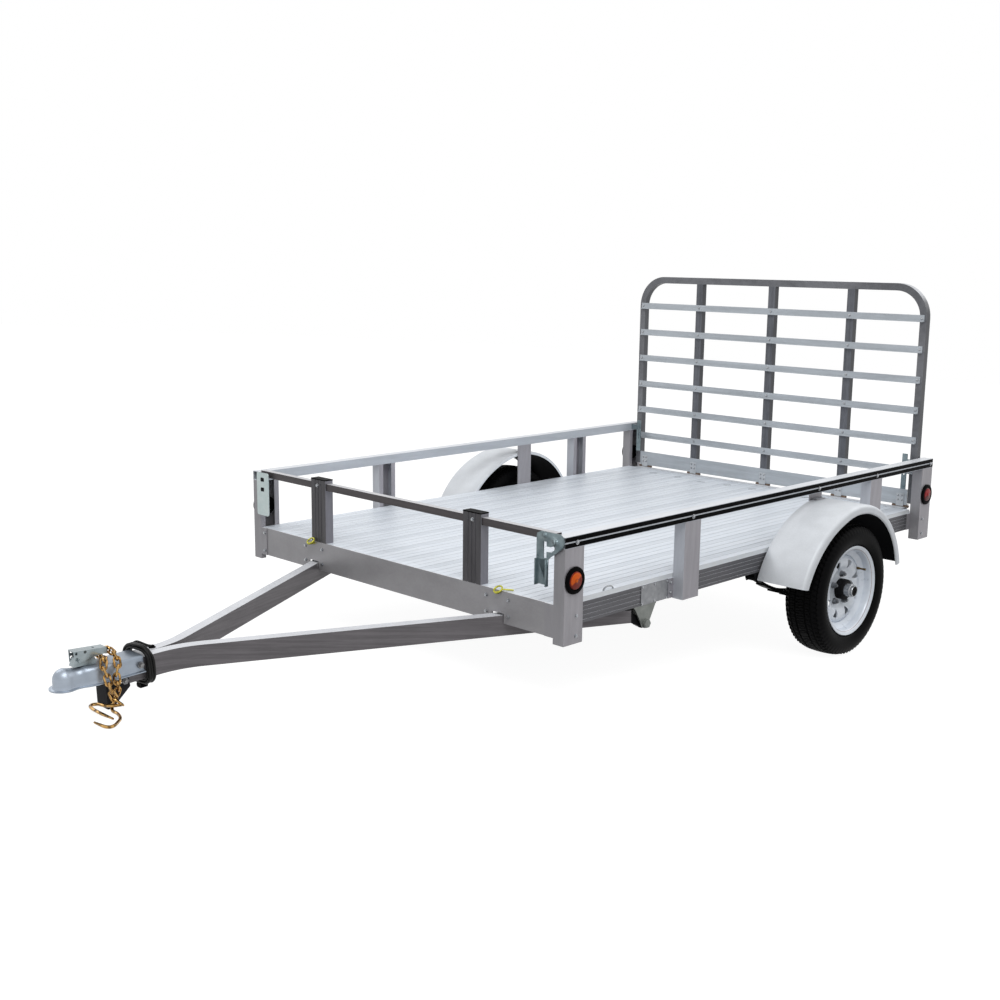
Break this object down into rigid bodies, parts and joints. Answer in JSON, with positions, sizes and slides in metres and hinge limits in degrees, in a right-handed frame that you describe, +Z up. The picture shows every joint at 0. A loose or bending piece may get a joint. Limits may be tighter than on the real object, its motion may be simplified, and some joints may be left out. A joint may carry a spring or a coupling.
{
  "type": "utility trailer",
  "caption": "Single-axle aluminium utility trailer with a planked tilting bed, open side rails, round fenders, a forked tongue with ball coupler and a fold-down ramp gate.",
  "frame": {"origin": "middle of the footprint of the parked trailer, on the ground", "axes": "+Z up from the ground, -Y forwards along the trailer towards the coupler, +X to the trailer's left side; the deck is parked nose down by about four degrees about X, as it stands on its wheels and the short foot under the coupler"},
  "size_m": [2.044, 3.7414, 1.5103],
  "materials": {
    "mill_aluminium": "mill finish, fine drawn lines",
    "gate_aluminium": "mill finish, dulled",
    "zinc_steel": "bright zinc plate",
    "galvanised_steel": "galvanised, satin",
    "black_steel": "satin black paint",
    "yellow_zinc": "yellow zinc plate",
    "tyre_rubber": "matte",
    "black_rubber": "satin",
    "cable_black": "satin",
    "amber_lens": "moulded lens",
    "red_lens": "moulded lens"
  },
  "bodies": {
    "bed": {"front_crossmember": "mill_aluminium", "side_frame_left": "mill_aluminium", "side_frame_right": "mill_aluminium", "cross_bearers": "mill_aluminium", "rear_crossmember": "mill_aluminium", "deck_planks": "mill_aluminium", "corner_posts": "mill_aluminium", "mid_posts": "mill_aluminium", "side_rail_left": "mill_aluminium", "side_rail_right": "mill_aluminium", "front_stakes": "mill_aluminium", "stake_caps": "black_rubber", "front_rail": "mill_aluminium", "front_latches": "zinc_steel", "gate_keepers": "zinc_steel", "lamp_grommets": "black_rubber", "marker_lamps": "amber_lens", "tail_lamps": "red_lens", "tilt_hanger_left": "black_steel", "tilt_hanger_right": "black_steel", "fender_left": "mill_aluminium", "fender_right": "mill_aluminium", "fender_braces": "mill_aluminium", "leaf_springs": "black_steel", "spring_hangers": "black_steel", "spring_clamps": "black_steel", "axle": "black_steel", "bed_hinges": "zinc_steel", "lock_pins": "yellow_zinc"},
    "tongue": {"tongue_beam_left": "mill_aluminium", "tongue_beam_right": "mill_aluminium", "pivot_lugs": "black_steel", "coupler": "zinc_steel", "coupler_lever": "zinc_steel", "parking_foot": "zinc_steel", "tongue_bolts": "yellow_zinc", "safety_chains": "yellow_zinc", "chain_hooks": "yellow_zinc", "harness_coil": "cable_black", "harness_lead": "cable_black", "harness_grommet": "black_rubber", "harness_plug": "black_rubber"},
    "wheel_left": {"tyre_left": "tyre_rubber", "rim_left": "galvanised_steel", "hub_left": "galvanised_steel"},
    "wheel_right": {"tyre_right": "tyre_rubber", "rim_right": "galvanised_steel", "hub_right": "galvanised_steel"},
    "gate": {"gate_frame": "gate_aluminium", "gate_uprights": "gate_aluminium", "gate_slats": "mill_aluminium", "gate_plate": "mill_aluminium", "gate_hinges": "zinc_steel"}
  },
  "joints": [
    {"name": "gate_swing", "type": "hinge", "parent": "bed", "child": "gate", "pos_m": [0, 1.81961, 0.51878], "axis": [-1, 0, 0], "range_deg": [0, 123.73]},
    {"name": "tilt_pivot", "type": "hinge", "parent": "bed", "child": "tongue", "pos_m": [0, -0.08691, 0.22913], "axis": [1, 0, 0], "range_deg": [0, 14]},
    {"name": "wheel_left_spin", "type": "hinge", "parent": "bed", "child": "wheel_left", "pos_m": [0.926, 0.97916, 0.265], "axis": [1, 0, 0], "continuous": true},
    {"name": "wheel_right_spin", "type": "hinge", "parent": "bed", "child": "wheel_right", "pos_m": [-0.926, 0.97916, 0.265], "axis": [1, 0, 0], "continuous": true}
  ]
}
